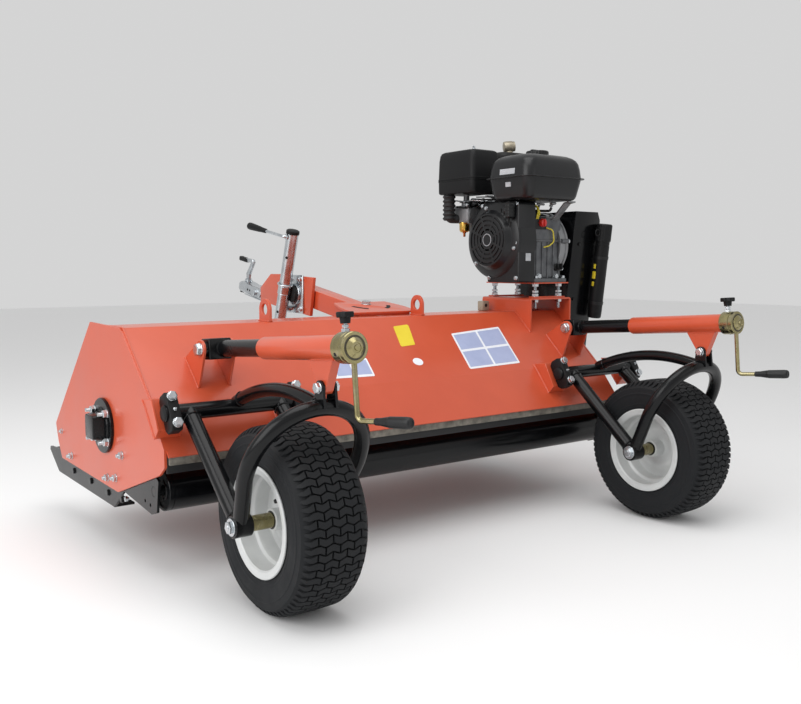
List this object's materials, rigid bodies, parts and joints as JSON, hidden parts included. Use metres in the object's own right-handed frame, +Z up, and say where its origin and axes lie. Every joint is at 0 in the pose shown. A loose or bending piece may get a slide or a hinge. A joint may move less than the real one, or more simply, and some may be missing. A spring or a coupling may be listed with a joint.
{
  "type": "towed flail mower",
  "caption": "Towed flail mower with its own engine, offset drawbar with jack, belt guard, rear roller and two height-adjustable wheels.",
  "frame": {"origin": "middle of the machine's footprint box, on the ground", "axes": "+X to the machine's right, where the belt guard is, +Y the way it is towed, +Z up"},
  "size_m": [1.6944, 1.8726, 1.147],
  "materials": {
    "orange_paint": "gloss orange-red powder coat, slightly worn",
    "black_paint": "gloss black powder coat with light road dust",
    "black_plastic": "black moulded plastic, half matt",
    "tyre_rubber": "black tyre rubber, matt tread and half matt sidewall",
    "white_rim_paint": "silver-white painted pressed steel",
    "zinc_plate": "bright zinc plate and galvanised steel, half gloss",
    "yellow_zinc": "yellow passivated zinc plate, half gloss",
    "cast_aluminium": "sand-cast aluminium, grey and half matt",
    "bare_iron": "dark iron and steel, half matt",
    "red_plastic": "red moulded plastic, glossy"
  },
  "bodies": {
    "chassis": {"deck_shell": "orange_paint", "left_lifting_eye": "orange_paint", "right_lifting_eye": "orange_paint", "left_end_plate": "orange_paint", "right_end_plate": "orange_paint", "left_skid": "black_paint", "right_skid": "black_paint", "left_rotor_bearing": "black_paint", "right_rotor_bearing": "black_paint", "engine_stand": "orange_paint", "belt_guard": "black_paint", "document_tube": "black_plastic", "hitch_plate": "orange_paint", "crankcase": "cast_aluminium", "fan_housing": "black_plastic", "fuel_tank": "black_paint", "air_filter": "black_plastic", "muffler": "bare_iron", "drive_belt": "tyre_rubber", "left_inner_arm_bearing": "black_paint", "left_inner_arm_bracket": "orange_paint", "left_outer_arm_bearing": "black_paint", "left_outer_arm_bracket": "orange_paint", "left_link_bracket": "orange_paint", "right_inner_arm_bearing": "black_paint", "right_inner_arm_bracket": "orange_paint", "right_outer_arm_bearing": "black_paint", "right_outer_arm_bracket": "orange_paint", "right_link_bracket": "orange_paint"},
    "rotor": {"rotor": "bare_iron"},
    "engine_pulley": {"engine_pulley": "bare_iron"},
    "rear_roller": {"rear_roller": "black_paint"},
    "front_flap": {"front_flap": "tyre_rubber"},
    "recoil_grip": {"recoil_grip": "black_plastic"},
    "fuel_cap": {"fuel_cap": "black_plastic"},
    "engine_switch": {"engine_switch": "red_plastic"},
    "throttle_lever": {"throttle_lever": "zinc_plate"},
    "left_arm": {"left_swing_arm": "black_paint", "left_axle": "yellow_zinc"},
    "left_wheel": {"left_tyre": "tyre_rubber", "left_rim": "white_rim_paint"},
    "left_link": {"left_inner_tube": "black_paint"},
    "left_sleeve": {"left_outer_tube": "orange_paint"},
    "left_crank": {"left_crank": "yellow_zinc"},
    "left_lock_knob": {"left_lock_knob": "black_plastic"},
    "right_arm": {"right_swing_arm": "black_paint", "right_axle": "yellow_zinc"},
    "right_wheel": {"right_tyre": "tyre_rubber", "right_rim": "white_rim_paint"},
    "right_link": {"right_inner_tube": "black_paint"},
    "right_sleeve": {"right_outer_tube": "orange_paint"},
    "right_crank": {"right_crank": "yellow_zinc"},
    "right_lock_knob": {"right_lock_knob": "black_plastic"},
    "drawbar": {"drawbar": "orange_paint", "coupling": "zinc_plate", "jack_clamp": "zinc_plate"},
    "coupling_lever": {"coupling_lever": "zinc_plate"},
    "jack": {"jack_tube": "zinc_plate"},
    "jack_crank": {"jack_crank": "zinc_plate"},
    "jack_leg": {"jack_leg": "zinc_plate"}
  },
  "joints": [
    {"name": "rotor_spin", "type": "hinge", "parent": "chassis", "child": "rotor", "pos_m": [-0.01225, 0.06687, 0.325], "axis": [1, 0, 0], "continuous": true},
    {"name": "engine_pulley_spin", "type": "hinge", "parent": "chassis", "child": "engine_pulley", "pos_m": [0.76975, -0.03113, 0.808], "axis": [1, 0, 0], "continuous": true},
    {"name": "roller_spin", "type": "hinge", "parent": "chassis", "child": "rear_roller", "pos_m": [-0.01225, -0.23613, 0.212], "axis": [1, 0, 0], "continuous": true},
    {"name": "flap_swing", "type": "hinge", "parent": "chassis", "child": "front_flap", "pos_m": [-0.01225, 0.39287, 0.291], "axis": [1, 0, 0], "range_deg": [-60, 45]},
    {"name": "recoil_pull", "type": "slide", "parent": "chassis", "child": "recoil_grip", "axis": [0, -1, 0], "range_m": [0, 0.5], "stiffness_N_per_m": 20},
    {"name": "fuel_cap_turn", "type": "hinge", "parent": "chassis", "child": "fuel_cap", "pos_m": [0.52275, -0.13613, 1.0743], "axis": [0, 0, 1], "range_deg": [0, 90]},
    {"name": "switch_turn", "type": "hinge", "parent": "chassis", "child": "engine_switch", "pos_m": [0.55475, -0.12843, 0.866], "axis": [0, -1, 0], "range_deg": [0, 60]},
    {"name": "throttle_turn", "type": "hinge", "parent": "chassis", "child": "throttle_lever", "pos_m": [0.46975, 0.00887, 0.9323], "axis": [0, 0, 1], "range_deg": [-30, 30]},
    {"name": "left_arm_swing", "type": "hinge", "parent": "chassis", "child": "left_arm", "pos_m": [-0.63345, -0.32313, 0.405], "axis": [1, 0, 0], "range_deg": [-11.15, 11.15]},
    {"name": "left_wheel_spin", "type": "hinge", "parent": "left_arm", "child": "left_wheel", "pos_m": [-0.63345, -0.56613, 0.2], "axis": [1, 0, 0], "continuous": true},
    {"name": "left_link_tilt", "type": "hinge", "parent": "chassis", "child": "left_link", "pos_m": [-0.62345, -0.23013, 0.533], "axis": [1, 0, 0], "range_deg": [-9.4, 9.4]},
    {"name": "left_sleeve_slide", "type": "slide", "parent": "left_link", "child": "left_sleeve", "axis": [0, -0.9972, 0.0753], "range_m": [-0.0236, 0.0236]},
    {"name": "left_crank_turn", "type": "hinge", "parent": "left_sleeve", "child": "left_crank", "pos_m": [-0.62345, -0.23013, 0.533], "axis": [0, -0.9972, 0.0753], "range_deg": [-1690, 1690]},
    {"name": "left_knob_turn", "type": "hinge", "parent": "left_sleeve", "child": "left_lock_knob", "pos_m": [-0.62345, -0.77062, 0.61996], "axis": [0, 0.0753, 0.9972], "range_deg": [0, 720]},
    {"name": "right_arm_swing", "type": "hinge", "parent": "chassis", "child": "right_arm", "pos_m": [0.60895, -0.32313, 0.405], "axis": [1, 0, 0], "range_deg": [-11.15, 11.15]},
    {"name": "right_wheel_spin", "type": "hinge", "parent": "right_arm", "child": "right_wheel", "pos_m": [0.60895, -0.56613, 0.2], "axis": [1, 0, 0], "continuous": true},
    {"name": "right_link_tilt", "type": "hinge", "parent": "chassis", "child": "right_link", "pos_m": [0.61895, -0.23013, 0.533], "axis": [1, 0, 0], "range_deg": [-9.4, 9.4]},
    {"name": "right_sleeve_slide", "type": "slide", "parent": "right_link", "child": "right_sleeve", "axis": [0, -0.9972, 0.0753], "range_m": [-0.0236, 0.0236]},
    {"name": "right_crank_turn", "type": "hinge", "parent": "right_sleeve", "child": "right_crank", "pos_m": [0.61895, -0.23013, 0.533], "axis": [0, -0.9972, 0.0753], "range_deg": [-1690, 1690]},
    {"name": "right_knob_turn", "type": "hinge", "parent": "right_sleeve", "child": "right_lock_knob", "pos_m": [0.61895, -0.77062, 0.61996], "axis": [0, 0.0753, 0.9972], "range_deg": [0, 720]},
    {"name": "drawbar_swing", "type": "hinge", "parent": "chassis", "child": "drawbar", "pos_m": [0.02775, 0.10187, 0.61], "axis": [0, -0.1668, 0.986], "range_deg": [-25, 25]},
    {"name": "coupling_lever_lift", "type": "hinge", "parent": "drawbar", "child": "coupling_lever", "pos_m": [0.02775, 0.87875, 0.67186], "axis": [1, 0, 0], "range_deg": [0, 55]},
    {"name": "jack_swivel", "type": "hinge", "parent": "drawbar", "child": "jack", "pos_m": [-0.05725, 0.44587, 0.634], "axis": [1, 0, 0], "range_deg": [0, 72]},
    {"name": "jack_crank_turn", "type": "hinge", "parent": "jack", "child": "jack_crank", "pos_m": [-0.05725, 0.40333, 0.82284], "axis": [-1, 0, 0], "range_deg": [0, 7200]},
    {"name": "jack_leg_slide", "type": "slide", "parent": "jack", "child": "jack_leg", "axis": [0, -0.3007, 0.9537], "range_m": [0, 0.2]}
  ],
  "couplings": [
    {"joint": "engine_pulley_spin", "follows": "rotor_spin", "ratio": 1.2449},
    {"joint": "left_sleeve_slide", "follows": "left_arm_swing", "m_per_rad": 0.1204},
    {"joint": "left_crank_turn", "follows": "left_arm_swing", "ratio": 151.3},
    {"joint": "left_link_tilt", "follows": "left_arm_swing", "ratio": 0.822},
    {"joint": "right_sleeve_slide", "follows": "right_arm_swing", "m_per_rad": 0.1204},
    {"joint": "right_crank_turn", "follows": "right_arm_swing", "ratio": 151.3},
    {"joint": "right_link_tilt", "follows": "right_arm_swing", "ratio": 0.822},
    {"joint": "jack_crank_turn", "follows": "jack_leg_slide", "rad_per_m": 628.32}
  ]
}
